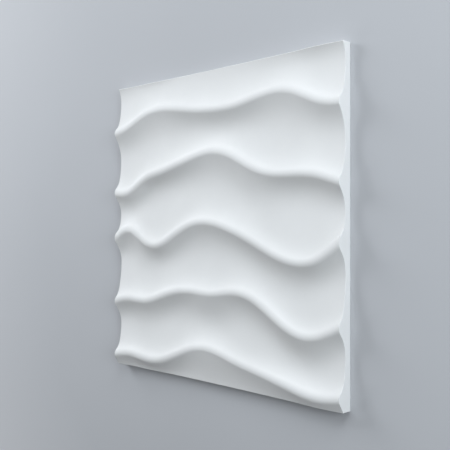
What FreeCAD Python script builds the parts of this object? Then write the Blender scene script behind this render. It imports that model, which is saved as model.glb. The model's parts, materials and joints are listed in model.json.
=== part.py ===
"""A relief wall tile, cast in gypsum plaster as one piece.

The tile lies on its flat back. X runs across it, Y runs up it as it hangs on the wall, and Z stands out
of the wall. Wavy crests run from side to side, and a hollow trough lies between each pair. The pattern
repeats across every joint: a crest that leaves one side comes in at the same height on the other, and
the trough that the top edge cuts carries on at the bottom edge. Lengths are in millimetres.
"""

import FreeCAD
import Part

import math
import os

Vector = FreeCAD.Vector

# The tile's outline and thickness
tile_width = 500.0
tile_height = 500.0
crest_thickness = 25.5
trough_thickness = 11.1

# The crests are rounded. The side above each is steep, with this slope where the gap to the next crest is
# the mean one, and steeper where the gap is narrow
crest_radius = 11.0
slope_above = 1.14

# How far down a side's tangent draws the hollow beside it, as a ratio to the fall to the trough's floor,
# and about how far it may run to the trough's middle, as a ratio to the hollow's width
pull_ratio_above = 1.26
pull_ratio_below = 2.9
widest_pull_ratio = 0.41

# Where the crests run, from the top crest down: the height of each above the tile's middle, as a ratio to
# the tile's height, at equal steps across the width from the left side
crest_height_ratios = [
    [0.336, 0.355, 0.386, 0.396, 0.389, 0.377, 0.370, 0.369, 0.380, 0.391, 0.383, 0.349],
    [0.121, 0.123, 0.166, 0.186, 0.205, 0.224, 0.235, 0.218, 0.179, 0.155, 0.151, 0.144],
    [-0.043, -0.014, -0.054, -0.060, -0.022, 0.009, 0.011, -0.009, -0.040, -0.077, -0.101, -0.093],
    [-0.272, -0.255, -0.258, -0.238, -0.216, -0.211, -0.215, -0.204, -0.213, -0.257, -0.301, -0.306],
    [-0.463, -0.451, -0.458, -0.453, -0.425, -0.397, -0.392, -0.410, -0.427, -0.443, -0.461, -0.473],
]

# The slope of the side below each crest at the same steps. It is gentle under the arches
fall_slopes = [
    [0.62, 0.65, 0.55, 0.48, 0.61, 0.72, 0.75, 0.81, 0.71, 0.52, 0.47, 0.60],
    [0.76, 0.89, 1.32, 1.28, 0.99, 0.65, 0.48, 0.46, 0.49, 0.69, 0.88, 0.81],
    [1.00, 0.60, 0.70, 0.95, 0.93, 0.67, 0.62, 0.69, 0.72, 0.70, 0.70, 0.94],
    [0.88, 0.77, 0.72, 0.88, 0.75, 0.48, 0.42, 0.58, 0.66, 0.70, 0.55, 0.56],
    [0.74, 0.78, 0.91, 0.99, 0.73, 0.40, 0.31, 0.40, 0.45, 0.51, 0.71, 0.75],
]
steps_across = len(crest_height_ratios[0])
step_width = tile_width / steps_across
mean_gap = tile_height / len(crest_height_ratios)

# The relief is lofted through sections that go on past the tile's sides, and trimmed to the outline
sections_per_step = 2
spare_section_count = 2


def smooth_line(ratios, whole):
    """A smooth curve through ratios of the whole at the steps. It repeats, and its parameter is X."""
    points = []
    for step in range(-steps_across, 2 * steps_across + 1):
        x = step * step_width - tile_width / 2
        points.append(Vector(x, whole * ratios[step % steps_across], 0))
    curve = Part.BSplineCurve()
    curve.interpolate(Points=points, Parameters=[point.x for point in points])
    return curve


def crests_at(lines, x):
    """Each crest's height, spread and fall at X, from the top down, with the crest beyond each joint.

    The spread is how much wider than its true section a slanting crest is along Y. The fall is the slope
    of its lower side.
    """
    crests = []
    for heights, falls in lines:
        slant = heights.getD1(x)[1]
        crests.append((heights.value(x).y, math.hypot(1, slant.y / slant.x), falls.value(x).y))
    beyond_top = (crests[-1][0] + tile_height, *crests[-1][1:])
    beyond_bottom = (crests[0][0] - tile_height, *crests[0][1:])
    return [beyond_top] + crests + [beyond_bottom]


def on_round(x, crest, angle, along=0):
    """A point at X on a crest's round, at an angle from its top down the tile, or along the tangent there."""
    y, spread, _ = crest
    out = crest_radius * math.sin(angle) + along * math.cos(angle)
    drop = crest_radius * (1 - math.cos(angle)) + along * math.sin(angle)
    return Vector(x, y - spread * out, crest_thickness - drop)


def crest_edge(x, crest, angle_above, angle_below):
    """The round of one crest at X, from its upper side to its lower side."""
    handle = 4 / 3 * math.tan((angle_above + angle_below) / 4) * crest_radius
    ends = [on_round(x, crest, -angle_above), on_round(x, crest, angle_below)]
    pulls = [on_round(x, crest, -angle_above, handle), on_round(x, crest, angle_below, -handle)]
    return [ends[0], *pulls, ends[1]]


def trough_edge(x, upper, lower, slope_upper, slope_lower):
    """The hollow between two crests at X. It leaves both rounds smoothly and meets the trough's floor."""
    start = on_round(x, upper, math.atan(slope_upper))
    end = on_round(x, lower, -math.atan(slope_lower))
    widest = widest_pull_ratio * (start.y - end.y)
    side_below = (start, upper[1], slope_upper, pull_ratio_below, -1)
    side_above = (end, lower[1], slope_lower, pull_ratio_above, 1)
    pulls = []
    for foot, spread, slope, ratio, way in (side_below, side_above):
        run = ratio * (foot.z - trough_thickness) * spread / slope
        run = run / math.hypot(1, run / widest)
        pulls.append(foot + Vector(0, way * run, -run * slope / spread))
    # Halfway along a curve with five poles, they weigh 1, 4, 6, 4 and 1 sixteenths
    middle_z = (16 * trough_thickness - start.z - end.z - 4 * (pulls[0].z + pulls[1].z)) / 6
    middle = Vector(x, (start.y + end.y) / 2, middle_z)
    return [start, pulls[0], middle, pulls[1], end]


def section(lines, x):
    """The relief's closed outline at X, which reaches from the crest above the tile to the one below it."""
    crests = crests_at(lines, x)
    rows = []
    slope_up = 0
    for upper, lower in zip(crests, crests[1:]):
        gap = upper[0] - lower[0]
        slope_down = upper[2]
        rows.append(crest_edge(x, upper, math.atan(slope_up), math.atan(slope_down)))
        slope_up = slope_above * mean_gap / gap
        rows.append(trough_edge(x, upper, lower, slope_down, slope_up))
    rows.append(crest_edge(x, crests[-1], math.atan(slope_up), 0))
    edges = []
    for poles in rows:
        curve = Part.BezierCurve()
        curve.setPoles(poles)
        edges.append(curve.toShape())
    first, last = rows[0][0], rows[-1][-1]
    corners = [last, Vector(x, last.y, -crest_thickness), Vector(x, first.y, -crest_thickness), first]
    edges += [Part.makeLine(start, end) for start, end in zip(corners, corners[1:])]
    return Part.Wire(edges)


def relief_body():
    """The relief lofted from side to side, a little wider, taller and deeper than the tile."""
    heights = [smooth_line(ratios, tile_height) for ratios in crest_height_ratios]
    falls = [smooth_line(slopes, 1) for slopes in fall_slopes]
    lines = list(zip(heights, falls))
    spacing = step_width / sections_per_step
    first = -spare_section_count
    last = steps_across * sections_per_step + spare_section_count
    wires = [section(lines, count * spacing - tile_width / 2) for count in range(first, last + 1)]
    return Part.makeLoft(wires, True)


def wall_tile():
    """The tile: its blank with the relief as its face."""
    corner = Vector(-tile_width / 2, -tile_height / 2, 0)
    blank = Part.makeBox(tile_width, tile_height, crest_thickness * 2, corner)
    return blank.common(relief_body())


os.makedirs("parts", exist_ok=True)
tile = wall_tile()
tile.exportStep("parts/relief_tile.step")
print("tile volume in litres:", round(tile.Volume / 1e6, 3), "valid:", tile.isValid())
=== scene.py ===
"""A relief wall tile of cast gypsum plaster, lying on its back in a plain studio.

The tile is cast in one piece. Its face is drawn trough by trough: each trough is a strip between
two crest lines, bent over a cage that lies on the relief's section. The strips are joined and
trimmed to the tile's outline, and the sides and the back are drawn from the trimmed edge. Lengths
are in metres. X runs across the tile, Y runs up it as it hangs on the wall, and Z stands out of
the wall.
"""

import json
import logging
import math
from dataclasses import dataclass, field
from enum import Enum

import bmesh
import bpy
import numpy as np
from mathutils import Matrix, Vector

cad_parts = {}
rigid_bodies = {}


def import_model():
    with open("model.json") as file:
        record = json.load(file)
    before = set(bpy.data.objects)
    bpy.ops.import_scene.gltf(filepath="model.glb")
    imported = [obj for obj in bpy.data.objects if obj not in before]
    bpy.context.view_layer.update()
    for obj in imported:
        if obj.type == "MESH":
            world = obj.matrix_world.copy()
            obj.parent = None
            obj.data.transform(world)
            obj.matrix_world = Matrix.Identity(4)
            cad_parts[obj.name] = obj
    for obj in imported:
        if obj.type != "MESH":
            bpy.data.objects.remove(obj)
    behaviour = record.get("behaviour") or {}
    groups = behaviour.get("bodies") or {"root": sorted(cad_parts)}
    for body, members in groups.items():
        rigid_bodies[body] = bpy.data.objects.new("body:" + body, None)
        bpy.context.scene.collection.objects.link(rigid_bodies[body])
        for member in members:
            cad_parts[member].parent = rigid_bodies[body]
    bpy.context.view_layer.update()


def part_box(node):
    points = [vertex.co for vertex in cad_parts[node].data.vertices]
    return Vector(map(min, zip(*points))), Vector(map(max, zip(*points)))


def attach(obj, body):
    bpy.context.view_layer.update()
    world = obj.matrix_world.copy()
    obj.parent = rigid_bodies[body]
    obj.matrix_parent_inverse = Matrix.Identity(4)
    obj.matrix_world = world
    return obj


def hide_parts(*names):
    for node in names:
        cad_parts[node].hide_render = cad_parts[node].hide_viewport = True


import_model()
log = logging.getLogger("relief_tile")

MILLIMETRE = 0.001
TILE_NODE = "relief_tile"

# Points of two strips that lie closer than this become one
WELD_DISTANCE = 0.01 * MILLIMETRE
# How exactly a cut goes through the points that are already there
CUT_TOLERANCE = 1e-6
# The outline's sides and the corners between them, in order round the tile
OUTLINE_DIRECTIONS = ((1, 0), (1, 1), (0, 1), (-1, 1), (-1, 0), (-1, -1), (0, -1), (1, -1))
QUARTER_TURN = math.pi / 2
# A face of the back looks down at least this straight, where -1 is straight down
BACK_FACING = -0.98
# The curve across a hollow has this many poles, counted from 0
HOLLOW_POLES = 5
MIDDLE_POLE = 2

# Radius of the smallest air hole, against its finish's hole_size. The largest has 1 more.
SMALLEST_HOLE = 0.35
# The share of an air hole's radius over which its wall goes down
HOLE_WALL = 0.35
# Painted shade in an air hole: how much darker its colour is painted than the plaster round it
HOLE_PAINTED_SHADE = 0.35
WHITE_PLASTER = (0.83, 0.83, 0.82)

# Width of the camera's sensor, in millimetres
SENSOR_WIDTH = 36.0
# Distance between two nodes as the node editor shows them
NODE_STEP = 200


class Surface(Enum):
    """The tile's surfaces that differ in finish. The value is the material's slot on the piece."""

    FACE = 0
    SIDES = 1
    BACK = 2


class Socket(Enum):
    """The kinds of socket that the node groups have."""

    NUMBER = "NodeSocketFloat"
    VECTOR = "NodeSocketVector"
    COLOUR = "NodeSocketColor"


def use_only(piece: bpy.types.Object) -> None:
    """Select one object, and nothing else, and make it the active one.

    Args:
        piece: the object that the next operators work on.
    """
    if bpy.context.object and bpy.context.object.mode == "EDIT":
        bpy.ops.object.mode_set(mode="OBJECT")
    bpy.ops.object.select_all(action="DESELECT")
    piece.select_set(True)
    bpy.context.view_layer.objects.active = piece


def apply_modifier(piece: bpy.types.Object, kind: str, **settings: object) -> None:
    """Add a modifier to a piece and apply it.

    Args:
        piece: the object to change.
        kind: the modifier's type.
        **settings: the modifier's properties.
    """
    use_only(piece)
    modifier = piece.modifiers.new(kind.lower(), kind)
    for name, value in settings.items():
        setattr(modifier, name, value)
    bpy.ops.object.modifier_apply(modifier=modifier.name)


@dataclass(frozen=True)
class SideToSideLine:
    """A smooth line over the tile's width, which ends at the right side as it starts at the left.

    Attributes:
        values: its values at equal steps across the width, from the left side.
    """

    values: tuple[float, ...]

    def rises(self) -> np.ndarray:
        """Rise of the smoothest line through the values, at each of them.

        Returns:
            The rise per step.
        """
        # The line bends evenly through a value where four times its rise there, and once the
        # rises at the values beside it, make three times what it gains between those two
        one = np.eye(len(self.values))
        weights = 4 * one + np.roll(one, 1, axis=1) + np.roll(one, -1, axis=1)
        values = np.array(self.values)
        return np.linalg.solve(weights, 3 * (np.roll(values, -1) - np.roll(values, 1)))

    def at(self, steps: float) -> tuple[float, float]:
        """Value and rise of the line.

        Args:
            steps: how far across the tile, in steps from the left side.

        Returns:
            The value and the rise per step.
        """
        rises = self.rises()
        first = math.floor(steps)
        part = steps - first
        start, end = (self.values[(first + side) % len(rises)] for side in (0, 1))
        start_rise, end_rise = (rises[(first + side) % len(rises)] for side in (0, 1))
        turn = 2 * (start - end) + start_rise + end_rise
        pull = 3 * (end - start) - 2 * start_rise - end_rise
        value = start + part * (start_rise + part * (pull + part * turn))
        rise = start_rise + part * (2 * pull + 3 * part * turn)
        return value, rise


@dataclass(frozen=True)
class CrestLine:
    """One wavy crest.

    Attributes:
        heights: its height above the tile's middle, against the tile's height.
        falls: the slope of the side below it.
    """

    heights: SideToSideLine
    falls: SideToSideLine


@dataclass(frozen=True)
class CrestPoint:
    """A crest where one section crosses it.

    Attributes:
        y: its height on the tile.
        spread: how much its slant widens the section along Y.
        fall: the slope of the side below it.
    """

    y: float
    spread: float
    fall: float


@dataclass(frozen=True)
class ReliefSection:
    """The relief's section square to its crests: a round on each crest, and a hollow between two.

    Attributes:
        crest_z: thickness of the tile at its crests.
        mean_gap: mean distance between two crests.
        trough_z: thickness at the bottom of its troughs.
        crest_radius: radius of the round.
        slope_above: slope of the side above a crest, where the gap is the mean one.
        reach_above: how far down that side's tangent draws the hollow, as a share of the fall to
            the hollow's floor.
        reach_below: the same for the side below a crest.
        widest_reach: about how far a tangent may run, as a share of the hollow's width.
        round_rows: faces across half a round.
        hollow_rows: faces across a hollow.
    """

    crest_z: float
    mean_gap: float
    trough_z: float = 11.1 * MILLIMETRE
    crest_radius: float = 11.0 * MILLIMETRE
    slope_above: float = 1.14
    reach_above: float = 1.26
    reach_below: float = 2.9
    widest_reach: float = 0.41
    round_rows: int = 6
    hollow_rows: int = 16

    @property
    def rows(self) -> int:
        """Faces from one crest's top to the next."""
        return 2 * self.round_rows + self.hollow_rows

    def half_round(self, crest: CrestPoint, slope: float, way: int) -> list[np.ndarray]:
        """Points from a crest's top to where its side leaves the round.

        Args:
            crest: the crest.
            slope: the side's slope.
            way: 1 for the side above the crest, and -1 for the side below it.

        Returns:
            The points' heights on the tile and out of the wall.
        """
        points = []
        for row in range(self.round_rows + 1):
            angle = math.atan(slope) * row / self.round_rows
            out = way * crest.spread * self.crest_radius * math.sin(angle)
            drop = self.crest_radius * (1 - math.cos(angle))
            points.append(np.array([crest.y + out, self.crest_z - drop]))
        return points

    def pull(
        self, foot: np.ndarray, spread: float, slope: float, reach: float, widest: float, way: int
    ) -> np.ndarray:
        """The point that draws the hollow's edge down along the crest's side.

        Args:
            foot: where the side leaves the round.
            spread: how much the crest's slant widens the section.
            slope: the side's slope.
            reach: how far down the tangent draws the hollow, as a share of the fall to its floor.
            widest: about how far the tangent may run.
            way: 1 for the side above the crest, and -1 for the side below it.

        Returns:
            The point's height on the tile and out of the wall.
        """
        run = reach * (foot[1] - self.trough_z) * spread / slope
        run = run / math.hypot(1, run / widest)
        return foot + np.array([way * run, -run * slope / spread])

    def pole_weights(self, part: float) -> np.ndarray:
        """How much each pole of a hollow's curve weighs at one place on it.

        Args:
            part: how far across the hollow the place is, from 0 to 1.

        Returns:
            The weights, which add up to 1.
        """
        last = HOLLOW_POLES - 1
        return np.array([
            math.comb(last, pole) * part**pole * (1 - part) ** (last - pole)
            for pole in range(HOLLOW_POLES)
        ])

    def across(self, lower: CrestPoint, upper: CrestPoint) -> list[np.ndarray]:
        """The section from the top of one crest to the top of the next.

        Args:
            lower: the lower crest.
            upper: the upper crest.

        Returns:
            The points' heights on the tile and out of the wall, one more than there are rows.
        """
        slope_up = self.slope_above * self.mean_gap / (upper.y - lower.y)
        low_bank = self.half_round(lower, slope_up, 1)
        high_bank = self.half_round(upper, upper.fall, -1)
        low_foot, high_foot = low_bank[-1], high_bank[-1]
        widest = self.widest_reach * (high_foot[0] - low_foot[0])
        low_pull = self.pull(low_foot, lower.spread, slope_up, self.reach_above, widest, 1)
        high_pull = self.pull(high_foot, upper.spread, upper.fall, self.reach_below, widest, -1)
        middle = (low_foot + high_foot) / 2
        poles = np.array([low_foot, low_pull, middle, high_pull, high_foot])
        # The middle pole goes down until the curve is as low as the trough's floor halfway
        halfway = self.pole_weights(0.5)
        poles[MIDDLE_POLE, 1] += (self.trough_z - halfway @ poles[:, 1]) / halfway[MIDDLE_POLE]
        parts = (row / self.hollow_rows for row in range(1, self.hollow_rows))
        hollow = [self.pole_weights(part) @ poles for part in parts]
        return low_bank + hollow + high_bank[::-1]


@dataclass
class WallTile:
    """The cast tile: its relief, sides, back and softened edges.

    Attributes:
        width: size along X.
        height: size along Y.
        section: the relief's section.
        crests: the crest lines, from the top one down.
        columns_per_step: faces along a crest, for each step between two of its heights.
        cage_per_step: places along a crest, for each step, at which the cage holds the section.
        spare_steps: steps by which the strips run past each side of the tile.
        edge_radius: radius of the softened edges.
        corner_cut: how much the four corners are cut back.
        edge_rows: faces round a softened edge.
        edge_margin: width of the row of faces beside a softened edge.
        back_spacing: distance between the cuts that let the back be uneven.
        back_hollow: how deep the back's unevenness goes.
        back_sweep: about how far the back's hollows lie apart.
        smooth_angle: edges sharper than this are shaded as edges, in degrees.
        piece: the tile's object, once it is modelled.
        loop_outline: how far inside the outline the loop lies from which the sides are drawn on.
    """

    width: float
    height: float
    section: ReliefSection
    crests: list[CrestLine]
    columns_per_step: int = 8
    cage_per_step: int = 2
    spare_steps: int = 1
    edge_radius: float = 0.6 * MILLIMETRE
    corner_cut: float = 0.5 * MILLIMETRE
    edge_rows: int = 3
    edge_margin: float = 0.5 * MILLIMETRE
    back_spacing: float = 20 * MILLIMETRE
    back_hollow: float = 0.35 * MILLIMETRE
    back_sweep: float = 80 * MILLIMETRE
    smooth_angle: float = 40.0
    piece: bpy.types.Object | None = field(init=False, default=None)
    loop_outline: float = field(init=False, default=0.0)

    @property
    def steps(self) -> int:
        """Steps across the tile between the heights of a crest line."""
        return len(self.crests[0].heights.values)

    @property
    def strip_steps(self) -> int:
        """Steps along a strip, from end to end."""
        return self.steps + 2 * self.spare_steps

    def crest_at(self, place: int, steps: float) -> CrestPoint:
        """Where a crest runs on this tile or on the ones above and below it.

        Args:
            place: the crest's place from the bottom up, which is 0 for the lowest crest on this
                tile, and -1 for the one below the joint.
            steps: how far across the tile, in steps from the left side.

        Returns:
            The crest at that place across the tile.
        """
        count = len(self.crests)
        line = self.crests[(count - 1 - place) % count]
        height, rise = line.heights.at(steps)
        slant = self.height * rise * self.steps / self.width
        fall, _ = line.falls.at(steps)
        return CrestPoint(self.height * (height + place // count), math.hypot(1, slant), fall)

    def trough_strip(self, place: int) -> bpy.types.Object:
        """Model the trough above one crest, from that crest's top to the next one's.

        Args:
            place: the crest's place, counted as in crest_at.

        Returns:
            The strip, which runs past each side of the tile.
        """
        columns = self.strip_steps * self.columns_per_step
        length = self.width * self.strip_steps / self.steps
        bpy.ops.mesh.primitive_grid_add(
            x_subdivisions=columns, y_subdivisions=self.section.rows, size=1
        )
        strip = bpy.context.object
        use_only(strip)
        bpy.ops.object.mode_set(mode="EDIT")
        bpy.ops.transform.resize(value=(length, self.section.mean_gap, 1))
        bpy.ops.object.mode_set(mode="OBJECT")
        cage = self.trough_cage(place, length)
        apply_modifier(strip, "LATTICE", object=cage)
        bpy.data.objects.remove(cage)
        return strip

    def trough_cage(self, place: int, length: float) -> bpy.types.Object:
        """Set up the cage that bends a flat strip into a trough.

        Args:
            place: the crest's place, counted as in crest_at.
            length: the strip's length.

        Returns:
            The cage, whose points lie on the relief's section.
        """
        bpy.ops.object.select_all(action="DESELECT")
        bpy.ops.object.add(type="LATTICE")
        cage = bpy.context.object
        cage.scale = (length, self.section.mean_gap, 1)
        stations = self.strip_steps * self.cage_per_step + 1
        cage.data.points_u = stations
        cage.data.points_v = self.section.rows + 1
        cage.data.points_w = 1
        cage.data.interpolation_type_u = "KEY_CATMULL_ROM"
        cage.data.interpolation_type_v = "KEY_LINEAR"
        for station in range(stations):
            steps = station / self.cage_per_step - self.spare_steps
            lower, upper = (self.crest_at(crest, steps) for crest in (place, place + 1))
            for row, (y, z) in enumerate(self.section.across(lower, upper)):
                point = cage.data.points[row * stations + station]
                point.co_deform = (point.co.x, y / self.section.mean_gap, z)
        bpy.context.view_layer.update()
        return cage

    def model_relief(self) -> None:
        """Model every trough that the tile shows, join them at the crests and smooth them."""
        strips = [self.trough_strip(place) for place in range(-1, len(self.crests))]
        use_only(strips[0])
        for strip in strips:
            strip.select_set(True)
        bpy.ops.object.join()
        self.piece = bpy.context.object
        self.piece.name = "plaster_tile"
        bpy.ops.object.mode_set(mode="EDIT")
        bpy.ops.mesh.select_all(action="SELECT")
        bpy.ops.mesh.remove_doubles(threshold=WELD_DISTANCE)
        bpy.ops.object.mode_set(mode="OBJECT")
        apply_modifier(self.piece, "SUBSURF", levels=1, render_levels=1)

    def trim(self) -> None:
        """Cut the relief to the outline, less the softened edge, with its corners cut back."""
        bpy.ops.object.mode_set(mode="EDIT")
        for x, y in OUTLINE_DIRECTIONS:
            outline = (abs(x) * self.width + abs(y) * self.height) / 2
            outline -= abs(x * y) * self.corner_cut
            normal = Vector((x, y, 0))
            reach = outline / normal.length - self.edge_radius
            normal.normalize()
            self.cut(normal, reach - self.edge_margin)
            self.cut(normal, reach, clear_outer=True)
        bpy.ops.object.mode_set(mode="OBJECT")

    def cut(self, normal: Vector, reach: float, clear_outer: bool = False) -> None:
        """Cut the whole piece along an upright plane.

        Args:
            normal: the plane's direction, which points out of the tile.
            reach: the plane's distance from the tile's middle.
            clear_outer: whether to take away what lies beyond the plane.
        """
        bpy.ops.mesh.select_all(action="SELECT")
        bpy.ops.mesh.bisect(
            plane_co=normal * reach, plane_no=normal, clear_outer=clear_outer,
            threshold=CUT_TOLERANCE,
        )

    def draw_ring(self, outline: float, level: float | None = None, down: float = 0.0) -> None:
        """Draw the selected edge loop on by one row of faces.

        Args:
            outline: how far inside the tile's outline the new loop lies.
            level: height at which the new loop lies flat, or None to keep its shape.
            down: how far the new loop lies below the old one, where it keeps its shape.
        """
        bpy.ops.mesh.extrude_region_move(TRANSFORM_OT_translate={"value": (0, 0, -down)})
        half_sizes = (self.width / 2, self.height / 2)
        scale = [(half - outline) / (half - self.loop_outline) for half in half_sizes]
        self.loop_outline = outline
        if level is None:
            bpy.ops.transform.resize(value=(*scale, 1), center_override=(0, 0, 0))
        else:
            bpy.ops.transform.resize(value=(*scale, 0), center_override=(0, 0, level))

    def draw_sides(self) -> None:
        """Draw the softened edges and the sides from the trimmed relief, and close the back."""
        radius = self.edge_radius
        bpy.ops.object.mode_set(mode="EDIT")
        bpy.ops.mesh.select_mode(type="EDGE")
        bpy.ops.mesh.select_all(action="SELECT")
        bpy.ops.mesh.region_to_loop()
        self.loop_outline = radius
        turns = [QUARTER_TURN * row / self.edge_rows for row in range(1, self.edge_rows + 1)]
        for before, turn in zip([0.0] + turns, turns):
            down = radius * (math.cos(before) - math.cos(turn))
            self.draw_ring(radius * (1 - math.sin(turn)), down=down)
        self.draw_ring(0.0, down=self.edge_margin)
        self.draw_ring(0.0, level=radius + self.edge_margin)
        self.draw_ring(0.0, level=radius)
        for turn in turns:
            self.draw_ring(radius * (1 - math.cos(turn)), level=radius * (1 - math.sin(turn)))
        self.draw_ring(radius + self.edge_margin, level=0.0)
        bpy.ops.mesh.edge_face_add()
        bpy.ops.object.mode_set(mode="OBJECT")

    def select_faces(self, surface: Surface) -> None:
        """Select the faces of one surface, in edit mode.

        Args:
            surface: which of the tile's surfaces.
        """
        bpy.ops.mesh.select_mode(type="FACE")
        bpy.ops.mesh.select_all(action="DESELECT")
        mesh = bmesh.from_edit_mesh(self.piece.data)
        for face in mesh.faces:
            face.select_set(self.surface_of(face) is surface)
        mesh.select_flush_mode()
        bmesh.update_edit_mesh(self.piece.data)

    def surface_of(self, face: bmesh.types.BMFace) -> Surface:
        """Tell which of the tile's surfaces a face belongs to, by its place and the way it looks.

        Args:
            face: the face to place.

        Returns:
            The surface.
        """
        centre = face.calc_center_median()
        beyond = max(abs(centre.x) - self.width / 2, abs(centre.y) - self.height / 2)
        if centre.z < self.edge_radius + self.back_hollow and face.normal.z < BACK_FACING:
            return Surface.BACK
        if beyond > -self.edge_radius / 2:
            return Surface.SIDES
        return Surface.FACE

    def work_back(self) -> None:
        """Cut the back into a grid and let it go a little hollow, as one drawn off by hand."""
        use_only(self.piece)
        bpy.ops.object.mode_set(mode="EDIT")
        for axis, size in ((Vector((1, 0, 0)), self.width), (Vector((0, 1, 0)), self.height)):
            fields = round(size / self.back_spacing)
            for number in range(1, fields):
                self.select_faces(Surface.BACK)
                place = axis * (size * (number / fields - 0.5))
                bpy.ops.mesh.bisect(plane_co=place, plane_no=axis, threshold=CUT_TOLERANCE)
        self.select_faces(Surface.BACK)
        bpy.ops.mesh.select_mode(type="VERT")
        bpy.ops.mesh.select_less()
        bpy.ops.object.vertex_group_assign_new()
        bpy.ops.object.mode_set(mode="OBJECT")
        group = self.piece.vertex_groups.active
        group.name = "back"
        sweep = bpy.data.textures.new("drawn_off_back", "CLOUDS")
        sweep.noise_scale = self.back_sweep
        apply_modifier(
            self.piece, "DISPLACE", texture=sweep, texture_coords="LOCAL", direction="Z",
            mid_level=0.0, strength=self.back_hollow, vertex_group=group.name,
        )
        self.piece.vertex_groups.clear()

    def dress(self, finishes: dict[Surface, bpy.types.Material]) -> None:
        """Give each surface its finish and shade the piece smoothly.

        Args:
            finishes: the material of each surface.
        """
        use_only(self.piece)
        for surface in Surface:
            self.piece.data.materials.append(finishes[surface])
        bpy.ops.object.mode_set(mode="EDIT")
        for surface in Surface:
            self.select_faces(surface)
            self.piece.active_material_index = surface.value
            bpy.ops.object.material_slot_assign()
        bpy.ops.mesh.select_all(action="SELECT")
        bpy.ops.mesh.normals_make_consistent(inside=False)
        bpy.ops.object.mode_set(mode="OBJECT")
        bpy.ops.object.shade_smooth_by_angle(angle=math.radians(self.smooth_angle))

    def build(self, finishes: dict[Surface, bpy.types.Material]) -> bpy.types.Object:
        """Model and dress the tile.

        Args:
            finishes: the material of each surface.

        Returns:
            The finished piece.
        """
        self.model_relief()
        self.trim()
        self.draw_sides()
        self.work_back()
        self.dress(finishes)
        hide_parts(TILE_NODE)
        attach(self.piece, "root")
        return self.piece


class NodeBench:
    """Places nodes in a shader tree and joins them."""

    def __init__(self, tree: bpy.types.NodeTree) -> None:
        """Start with an empty tree.

        Args:
            tree: the tree to fill.
        """
        self.tree = tree
        tree.nodes.clear()

    def add(
        self, kind: str, inputs: dict[str | int, object] | None = None, **settings: object
    ) -> bpy.types.Node:
        """Place a node.

        Args:
            kind: the node's type, without ShaderNode before it.
            inputs: each input's name or number, with its value or the socket that feeds it.
            **settings: the node's properties.

        Returns:
            The node.
        """
        name = kind if kind.startswith("Node") else "ShaderNode" + kind
        node = self.tree.nodes.new(name)
        node.location = (NODE_STEP * len(self.tree.nodes), 0)
        for setting, value in settings.items():
            setattr(node, setting, value)
        for key, value in (inputs or {}).items():
            if isinstance(value, bpy.types.NodeSocket):
                self.join(value, node.inputs[key])
            else:
                node.inputs[key].default_value = value
        return node

    def join(self, output: bpy.types.NodeSocket, target: bpy.types.NodeSocket) -> None:
        """Feed one node's output to another one's input."""
        self.tree.links.new(output, target)

    def group(self, tree: bpy.types.NodeTree, **inputs: object) -> bpy.types.bpy_prop_collection:
        """Place a node group.

        Args:
            tree: the group.
            **inputs: its inputs, as values or sockets.

        Returns:
            The group's outputs.
        """
        return self.add("Group", inputs, node_tree=tree).outputs

    def math(self, operation: str, *values: object) -> bpy.types.NodeSocket:
        """Place a Math node and return its result.

        Args:
            operation: what it works out.
            *values: its inputs, as numbers or sockets.

        Returns:
            The socket of its result.
        """
        return self.add("Math", dict(enumerate(values)), operation=operation).outputs[0]

    def scale(self, colour: object, factor: bpy.types.NodeSocket) -> bpy.types.NodeSocket:
        """Make a colour brighter or darker.

        Args:
            colour: the colour, as values or a socket.
            factor: the socket of the number that it is multiplied by.

        Returns:
            The socket of the result.
        """
        inputs = {0: colour, "Scale": factor}
        return self.add("VectorMath", inputs, operation="SCALE").outputs[0]

    def spread(
        self, value: bpy.types.NodeSocket, start: tuple[float, float], end: tuple[float, float]
    ) -> bpy.types.NodeSocket:
        """Map a value from one range to another, and hold it within that.

        Args:
            value: the socket to read.
            start: the value and the result at the range's start.
            end: the value and the result at the range's end.

        Returns:
            The socket of the result.
        """
        inputs = {
            "Value": value,
            "From Min": start[0],
            "To Min": start[1],
            "From Max": end[0],
            "To Max": end[1],
        }
        return self.add("MapRange", inputs).outputs[0]


@dataclass(frozen=True)
class NoisePattern:
    """An irregular pattern that runs on evenly in all directions.

    Attributes:
        scale: how often it changes within a metre.
        detail: how many finer patterns are laid over it.
        roughness: how strong each of those is against the one before.
        band: its values between which its mask goes from one end to the other.
    """

    scale: float
    detail: float
    roughness: float = 0.5
    band: tuple[float, float] = (0.3, 0.7)

    def values(self, bench: NodeBench, place: bpy.types.NodeSocket) -> bpy.types.NodeSocket:
        """Place the pattern.

        Args:
            bench: the bench to place it on.
            place: the socket of the position.

        Returns:
            The socket of its values.
        """
        inputs = {
            "Vector": place,
            "Scale": self.scale,
            "Detail": self.detail,
            "Roughness": self.roughness,
        }
        return bench.add("TexNoise", inputs).outputs[0]

    def mask(
        self, bench: NodeBench, place: bpy.types.NodeSocket, ends: tuple[float, float] = (0.0, 1.0)
    ) -> bpy.types.NodeSocket:
        """Place the pattern and make a mask of it.

        Args:
            bench: the bench to place it on.
            place: the socket of the position.
            ends: the mask's least and greatest values.

        Returns:
            The socket of the mask.
        """
        start, end = zip(self.band, ends)
        return bench.spread(self.values(bench, place), start, end)


CLOUDS = NoisePattern(scale=14.0, detail=5.0, roughness=0.55)
SPECKS = NoisePattern(scale=700.0, detail=2.0, band=(0.55, 0.8))
GRAIN = NoisePattern(scale=1200.0, detail=3.0, roughness=0.6)
RIPPLE = NoisePattern(scale=90.0, detail=2.0)
FLOOR_PATCHES = NoisePattern(scale=3.0, detail=3.0)


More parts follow.
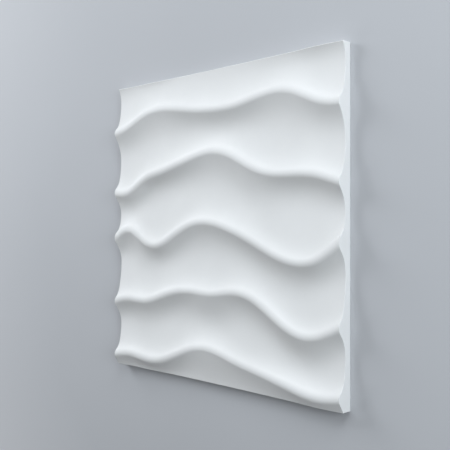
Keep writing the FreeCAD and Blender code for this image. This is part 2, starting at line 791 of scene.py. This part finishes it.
def new_group(
    name: str, inputs: dict[str, Socket], outputs: dict[str, Socket]
) -> tuple[NodeBench, bpy.types.bpy_prop_collection, bpy.types.bpy_prop_collection]:
    """Start a node group.

    Args:
        name: the group's name.
        inputs: each input's name and kind.
        outputs: each output's name and kind.

    Returns:
        The bench for its nodes, its inputs as sockets to read, and its outputs as sockets to feed.
    """
    tree = bpy.data.node_groups.new(name, "ShaderNodeTree")
    for way, sockets in (("INPUT", inputs), ("OUTPUT", outputs)):
        for label, kind in sockets.items():
            tree.interface.new_socket(name=label, in_out=way, socket_type=kind.value)
    bench = NodeBench(tree)
    return bench, bench.add("NodeGroupInput").outputs, bench.add("NodeGroupOutput").inputs


def plaster_tone_group() -> bpy.types.NodeTree:
    """Build the group that gives plaster its faint clouds and specks.

    Returns:
        The group, which puts out the colour and the clouds alone.
    """
    inputs = {
        "Position": Socket.VECTOR,
        "Base": Socket.COLOUR,
        "Clouds": Socket.NUMBER,
        "Specks": Socket.NUMBER,
    }
    outputs = {"Color": Socket.COLOUR, "Clouds": Socket.NUMBER}
    bench, read, feed = new_group("plaster_tone", inputs, outputs)
    clouds = CLOUDS.mask(bench, read["Position"])
    specks = SPECKS.mask(bench, read["Position"])
    cloud_loss = bench.math("MULTIPLY", clouds, read["Clouds"])
    speck_loss = bench.math("MULTIPLY", specks, read["Specks"])
    kept = bench.math("SUBTRACT", bench.math("SUBTRACT", 1.0, cloud_loss), speck_loss)
    bench.join(bench.scale(read["Base"], kept), feed["Color"])
    bench.join(clouds, feed["Clouds"])
    return bench.tree


def plaster_grain_group() -> bpy.types.NodeTree:
    """Build the group that gives plaster its grain, in millimetres of height.

    Returns:
        The group.
    """
    inputs = {
        "Position": Socket.VECTOR,
        "Grain": Socket.NUMBER,
        "Ripple": Socket.NUMBER,
        "Streaks": Socket.VECTOR,
    }
    bench, read, feed = new_group("plaster_grain", inputs, {"Height": Socket.NUMBER})
    stretch = {0: read["Position"], 1: read["Streaks"]}
    drawn_out = bench.add("VectorMath", stretch, operation="MULTIPLY").outputs[0]
    fine = bench.math("MULTIPLY", GRAIN.values(bench, read["Position"]), read["Grain"])
    broad = bench.math("MULTIPLY", RIPPLE.values(bench, drawn_out), read["Ripple"])
    bench.join(bench.math("ADD", fine, broad), feed["Height"])
    return bench.tree


def air_holes_group() -> bpy.types.NodeTree:
    """Build the group that scatters the small round holes which air leaves in a casting.

    Returns:
        The group, which puts out a mask.
    """
    inputs = {
        "Position": Socket.VECTOR,
        "Spacing": Socket.NUMBER,
        "Size": Socket.NUMBER,
        "Share": Socket.NUMBER,
    }
    bench, read, feed = new_group("air_holes", inputs, {"Mask": Socket.NUMBER})
    per_metre = bench.math("DIVIDE", 1.0, read["Spacing"])
    cells = bench.add("TexVoronoi", {"Vector": read["Position"], "Scale": per_metre}).outputs
    chance = bench.add("SeparateColor", {0: cells["Color"]}).outputs
    radius = bench.math("MULTIPLY", read["Size"], bench.math("ADD", SMALLEST_HOLE, chance[1]))
    rim = bench.math("SUBTRACT", 1.0, bench.math("DIVIDE", cells["Distance"], radius))
    hole = bench.spread(rim, (0.0, 0.0), (HOLE_WALL, 1.0))
    chosen = bench.math("LESS_THAN", chance[0], read["Share"])
    bench.join(bench.math("MULTIPLY", hole, chosen), feed["Mask"])
    return bench.tree


@dataclass(frozen=True)
class PlasterFinish:
    """How plaster looks where it was cast against a mould, or drawn off.

    Attributes:
        name: the material's name.
        colour: its colour, in linear light.
        clouds: how much darker its clouds are.
        specks: how much darker its specks are.
        grain: height of its grain, in millimetres.
        ripple: height of its broad unevenness, in millimetres.
        hole_spacing: distance between air holes, in metres.
        hole_size: about their radius, as a share of that distance.
        hole_share: the share of the places that have one.
        roughness: its roughness where its clouds are thin and where they are thick.
        streaks: how fast the broad unevenness changes along each axis, where less draws it out.
        specular: how much it mirrors.
    """

    name: str
    colour: tuple[float, float, float]
    clouds: float
    specks: float
    grain: float
    ripple: float
    hole_spacing: float
    hole_size: float
    hole_share: float
    roughness: tuple[float, float]
    streaks: tuple[float, float, float] = (1.0, 1.0, 1.0)
    specular: float = 0.35

    def material(self, groups: dict[str, bpy.types.NodeTree]) -> bpy.types.Material:
        """Make the finish's material.

        Args:
            groups: the shared node groups, by name.

        Returns:
            The material.
        """
        made = bpy.data.materials.new(self.name)
        made.use_nodes = True
        bench = NodeBench(made.node_tree)
        place = bench.add("TexCoord").outputs["Object"]
        tone = bench.group(
            groups["plaster_tone"],
            Position=place, Base=(*self.colour, 1), Clouds=self.clouds, Specks=self.specks,
        )
        grain = bench.group(
            groups["plaster_grain"],
            Position=place, Grain=self.grain, Ripple=self.ripple, Streaks=self.streaks,
        )
        holes = bench.group(
            groups["air_holes"],
            Position=place, Spacing=self.hole_spacing, Size=self.hole_size, Share=self.hole_share,
        )
        hole_radius = self.hole_size * self.hole_spacing / MILLIMETRE
        depth = bench.math("MULTIPLY", holes["Mask"], hole_radius)
        height = bench.math("SUBTRACT", grain["Height"], depth)
        bump = bench.add("Bump", {"Height": height, "Distance": MILLIMETRE, "Strength": 1.0})
        # Painted shade: each air hole's colour is darkened as if shade fell in it, besides the
        # real dip that the bump gives it
        darker = bench.math("MULTIPLY", holes["Mask"], HOLE_PAINTED_SHADE)
        smooth, rough = self.roughness
        inputs = {
            "Base Color": bench.scale(tone["Color"], bench.math("SUBTRACT", 1.0, darker)),
            "Roughness": bench.spread(tone["Clouds"], (0.0, smooth), (1.0, rough)),
            "Normal": bump.outputs[0],
            "Specular IOR Level": self.specular,
        }
        shader = bench.add("BsdfPrincipled", inputs)
        bench.add("OutputMaterial", {"Surface": shader.outputs[0]})
        return made


@dataclass(frozen=True)
class Lamp:
    """A soft square lamp that faces the tile.

    Attributes:
        name: the lamp's name.
        shines_from: direction from the tile to the lamp.
        power: its power, in watts.
        colour: its colour, in linear light.
    """

    name: str
    shines_from: tuple[float, float, float]
    power: float
    colour: tuple[float, float, float] = (0.94, 0.985, 1.035)


@dataclass
class Studio:
    """A plain pale floor that runs out into a pale backdrop, soft lamps and the camera.

    Attributes:
        camera_place: where the camera stands.
        camera_turn: how far its line of sight is from square to the tile, in degrees.
        lens: focal length, for the usual 36 mm sensor.
        floor_size: side of the floor.
        floor_colour: the floor's colour, in linear light.
        floor_tone: how dark its darkest and its lightest patches are, where 1 is not at all.
        floor_roughness: its roughness.
        floor_specular: how much it mirrors.
        floor_fade: distances from the tile's middle at which the floor starts and ends to run out.
        backdrop_colour: the colour seen beyond the floor, in linear light.
        sky: strength of the even light from all sides.
        lamps: the lamps.
        lamp_distance: distance of the lamps from the tile.
        lamp_size: side of the lamps.
    """

    camera_place: tuple[float, float, float] = (0.8289, 0.0023, 0.8144)
    camera_turn: float = 45.19
    lens: float = 58.14
    floor_size: float = 8.0
    floor_colour: tuple[float, float, float] = (0.55, 0.56, 0.58)
    floor_tone: tuple[float, float] = (0.98, 1.0)
    floor_roughness: float = 0.9
    floor_specular: float = 0.1
    floor_fade: tuple[float, float] = (0.55, 1.7)
    backdrop_colour: tuple[float, float, float] = (0.53, 0.55, 0.58)
    sky: float = 0.1
    lamps: tuple[Lamp, ...] = (
        Lamp("high_left", (-0.8, 0.5, 0.4), 25.8),
        Lamp("low_left", (-0.8, -0.3, 0.5), 6.9),
        Lamp("right", (0.9, 0.1, 0.4), 22.2, (0.93, 1.01, 1.075)),
        Lamp("front", (0.0, 0.5, 0.87), 6.9),
        Lamp("top_right", (0.5, 0.75, 0.45), 17.2),
    )
    lamp_distance: float = 2.2
    lamp_size: float = 1.0

    def build(self) -> None:
        """Set up the floor, the lamps, the sky and the camera."""
        bpy.context.scene.view_settings.view_transform = "Standard"
        self.lay_floor()
        for lamp in self.lamps:
            self.hang(lamp)
        self.light_sky()
        self.place_camera()

    def lay_floor(self) -> None:
        """Lay the floor that the tile lies on."""
        bpy.ops.object.select_all(action="DESELECT")
        bpy.ops.mesh.primitive_plane_add(size=self.floor_size)
        floor = bpy.context.object
        floor.name = "floor"
        floor.data.materials.append(self.floor_material())

    def floor_material(self) -> bpy.types.Material:
        """Make the floor's finish, which runs out into the backdrop.

        Returns:
            The material.
        """
        made = bpy.data.materials.new("pale_floor")
        made.use_nodes = True
        bench = NodeBench(made.node_tree)
        place = bench.add("TexCoord").outputs["Object"]
        patches = FLOOR_PATCHES.mask(bench, place, self.floor_tone)
        inputs = {
            "Base Color": bench.scale(self.floor_colour, patches),
            "Roughness": self.floor_roughness,
            "Specular IOR Level": self.floor_specular,
        }
        shader = bench.add("BsdfPrincipled", inputs)
        beyond = bench.add("Emission", {"Color": (*self.backdrop_colour, 1)})
        distance = bench.add("VectorMath", {0: place}, operation="LENGTH").outputs["Value"]
        start, end = self.floor_fade
        fade = bench.spread(distance, (start, 0.0), (end, 1.0))
        share = bench.math("MULTIPLY", self.seen(bench), fade)
        mixed = bench.add("MixShader", {0: share, 1: shader.outputs[0], 2: beyond.outputs[0]})
        bench.add("OutputMaterial", {"Surface": mixed.outputs[0]})
        return made

    def hang(self, lamp: Lamp) -> None:
        """Hang a lamp.

        Args:
            lamp: the lamp.
        """
        direction = Vector(lamp.shines_from).normalized()
        turned = direction.to_track_quat("Z", "Y").to_euler()
        place = direction * self.lamp_distance
        bpy.ops.object.light_add(type="AREA", location=place, rotation=turned)
        hung = bpy.context.object
        hung.name = lamp.name
        hung.data.size = self.lamp_size
        hung.data.energy = lamp.power
        hung.data.color = lamp.colour

    def seen(self, bench: NodeBench) -> bpy.types.NodeSocket:
        """Tell the rays that show the backdrop from those that only light the tile.

        Args:
            bench: the bench to place the nodes on.

        Returns:
            The socket that is 1 for a ray that shows the backdrop.
        """
        path = bench.add("LightPath").outputs
        straight = bench.math("MAXIMUM", path["Is Camera Ray"], path["Is Transmission Ray"])
        return bench.math("MAXIMUM", straight, path["Is Glossy Ray"])

    def light_sky(self) -> None:
        """Give the studio its even light and its backdrop."""
        world = bpy.data.worlds.new("studio")
        bpy.context.scene.world = world
        world.use_nodes = True
        bench = NodeBench(world.node_tree)
        light = bench.add("Background", {"Color": (1, 1, 1, 1), "Strength": self.sky})
        backdrop = bench.add("Background", {"Color": (*self.backdrop_colour, 1), "Strength": 1.0})
        share = self.seen(bench)
        mixed = bench.add("MixShader", {0: share, 1: light.outputs[0], 2: backdrop.outputs[0]})
        bench.add("OutputWorld", {"Surface": mixed.outputs[0]})

    def place_camera(self) -> None:
        """Stand the camera where the photograph was taken from, the tile's top edge upwards."""
        turn = math.radians(self.camera_turn)
        bpy.ops.object.camera_add()
        camera = bpy.context.object
        right = Vector((math.cos(turn), 0, -math.sin(turn)))
        up = Vector((0, 1, 0))
        back = right.cross(up)
        pose = Matrix((right, up, back)).transposed().to_4x4()
        pose.translation = self.camera_place
        camera.matrix_world = pose
        camera.data.lens = self.lens
        camera.data.sensor_width = SENSOR_WIDTH
        bpy.context.scene.camera = camera


def crest_lines() -> list[CrestLine]:
    """The tile's five crest lines, from the top one down.

    Returns:
        The crest lines, as the tile's source has them.
    """
    heights = [
        (0.336, 0.355, 0.386, 0.396, 0.389, 0.377, 0.370, 0.369, 0.380, 0.391, 0.383, 0.349),
        (0.121, 0.123, 0.166, 0.186, 0.205, 0.224, 0.235, 0.218, 0.179, 0.155, 0.151, 0.144),
        (-0.043, -0.014, -0.054, -0.060, -0.022, 0.009,
         0.011, -0.009, -0.040, -0.077, -0.101, -0.093),
        (-0.272, -0.255, -0.258, -0.238, -0.216, -0.211,
         -0.215, -0.204, -0.213, -0.257, -0.301, -0.306),
        (-0.463, -0.451, -0.458, -0.453, -0.425, -0.397,
         -0.392, -0.410, -0.427, -0.443, -0.461, -0.473),
    ]
    falls = [
        (0.62, 0.65, 0.55, 0.48, 0.61, 0.72, 0.75, 0.81, 0.71, 0.52, 0.47, 0.60),
        (0.76, 0.89, 1.32, 1.28, 0.99, 0.65, 0.48, 0.46, 0.49, 0.69, 0.88, 0.81),
        (1.00, 0.60, 0.70, 0.95, 0.93, 0.67, 0.62, 0.69, 0.72, 0.70, 0.70, 0.94),
        (0.88, 0.77, 0.72, 0.88, 0.75, 0.48, 0.42, 0.58, 0.66, 0.70, 0.55, 0.56),
        (0.74, 0.78, 0.91, 0.99, 0.73, 0.40, 0.31, 0.40, 0.45, 0.51, 0.71, 0.75),
    ]
    return [
        CrestLine(SideToSideLine(height), SideToSideLine(fall))
        for height, fall in zip(heights, falls)
    ]


def plaster_finishes() -> dict[Surface, bpy.types.Material]:
    """The three finishes of one casting.

    Returns:
        The material of each surface.
    """
    face = PlasterFinish(
        name="moulded_face", colour=WHITE_PLASTER, clouds=0.03, specks=0.025, grain=0.018,
        ripple=0.035, hole_spacing=0.022, hole_size=0.02, hole_share=0.35, roughness=(0.72, 0.86),
    )
    sides = PlasterFinish(
        name="moulded_sides", colour=WHITE_PLASTER, clouds=0.04, specks=0.03, grain=0.025,
        ripple=0.05, hole_spacing=0.009, hole_size=0.07, hole_share=0.5, roughness=(0.78, 0.9),
    )
    back = PlasterFinish(
        name="drawn_off_back", colour=(0.8, 0.8, 0.785), clouds=0.07, specks=0.06, grain=0.06,
        ripple=0.3, hole_spacing=0.012, hole_size=0.07, hole_share=0.55, roughness=(0.85, 0.95),
        streaks=(0.06, 1.4, 1.0),
    )
    trees = (plaster_tone_group(), plaster_grain_group(), air_holes_group())
    groups = {tree.name: tree for tree in trees}
    finishes = {Surface.FACE: face, Surface.SIDES: sides, Surface.BACK: back}
    return {surface: finish.material(groups) for surface, finish in finishes.items()}


def main() -> None:
    """Build the tile and the studio, and log how many faces the tile has."""
    logging.basicConfig(level=logging.INFO, format="%(message)s")
    low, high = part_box(TILE_NODE)
    size = high - low
    crests = crest_lines()
    section = ReliefSection(crest_z=high.z, mean_gap=size.y / len(crests))
    tile = WallTile(width=size.x, height=size.y, section=section, crests=crests)
    piece = tile.build(plaster_finishes())
    log.info("%s: %d faces", piece.name, len(piece.data.polygons))
    Studio().build()


if __name__ == "__main__":
    main()
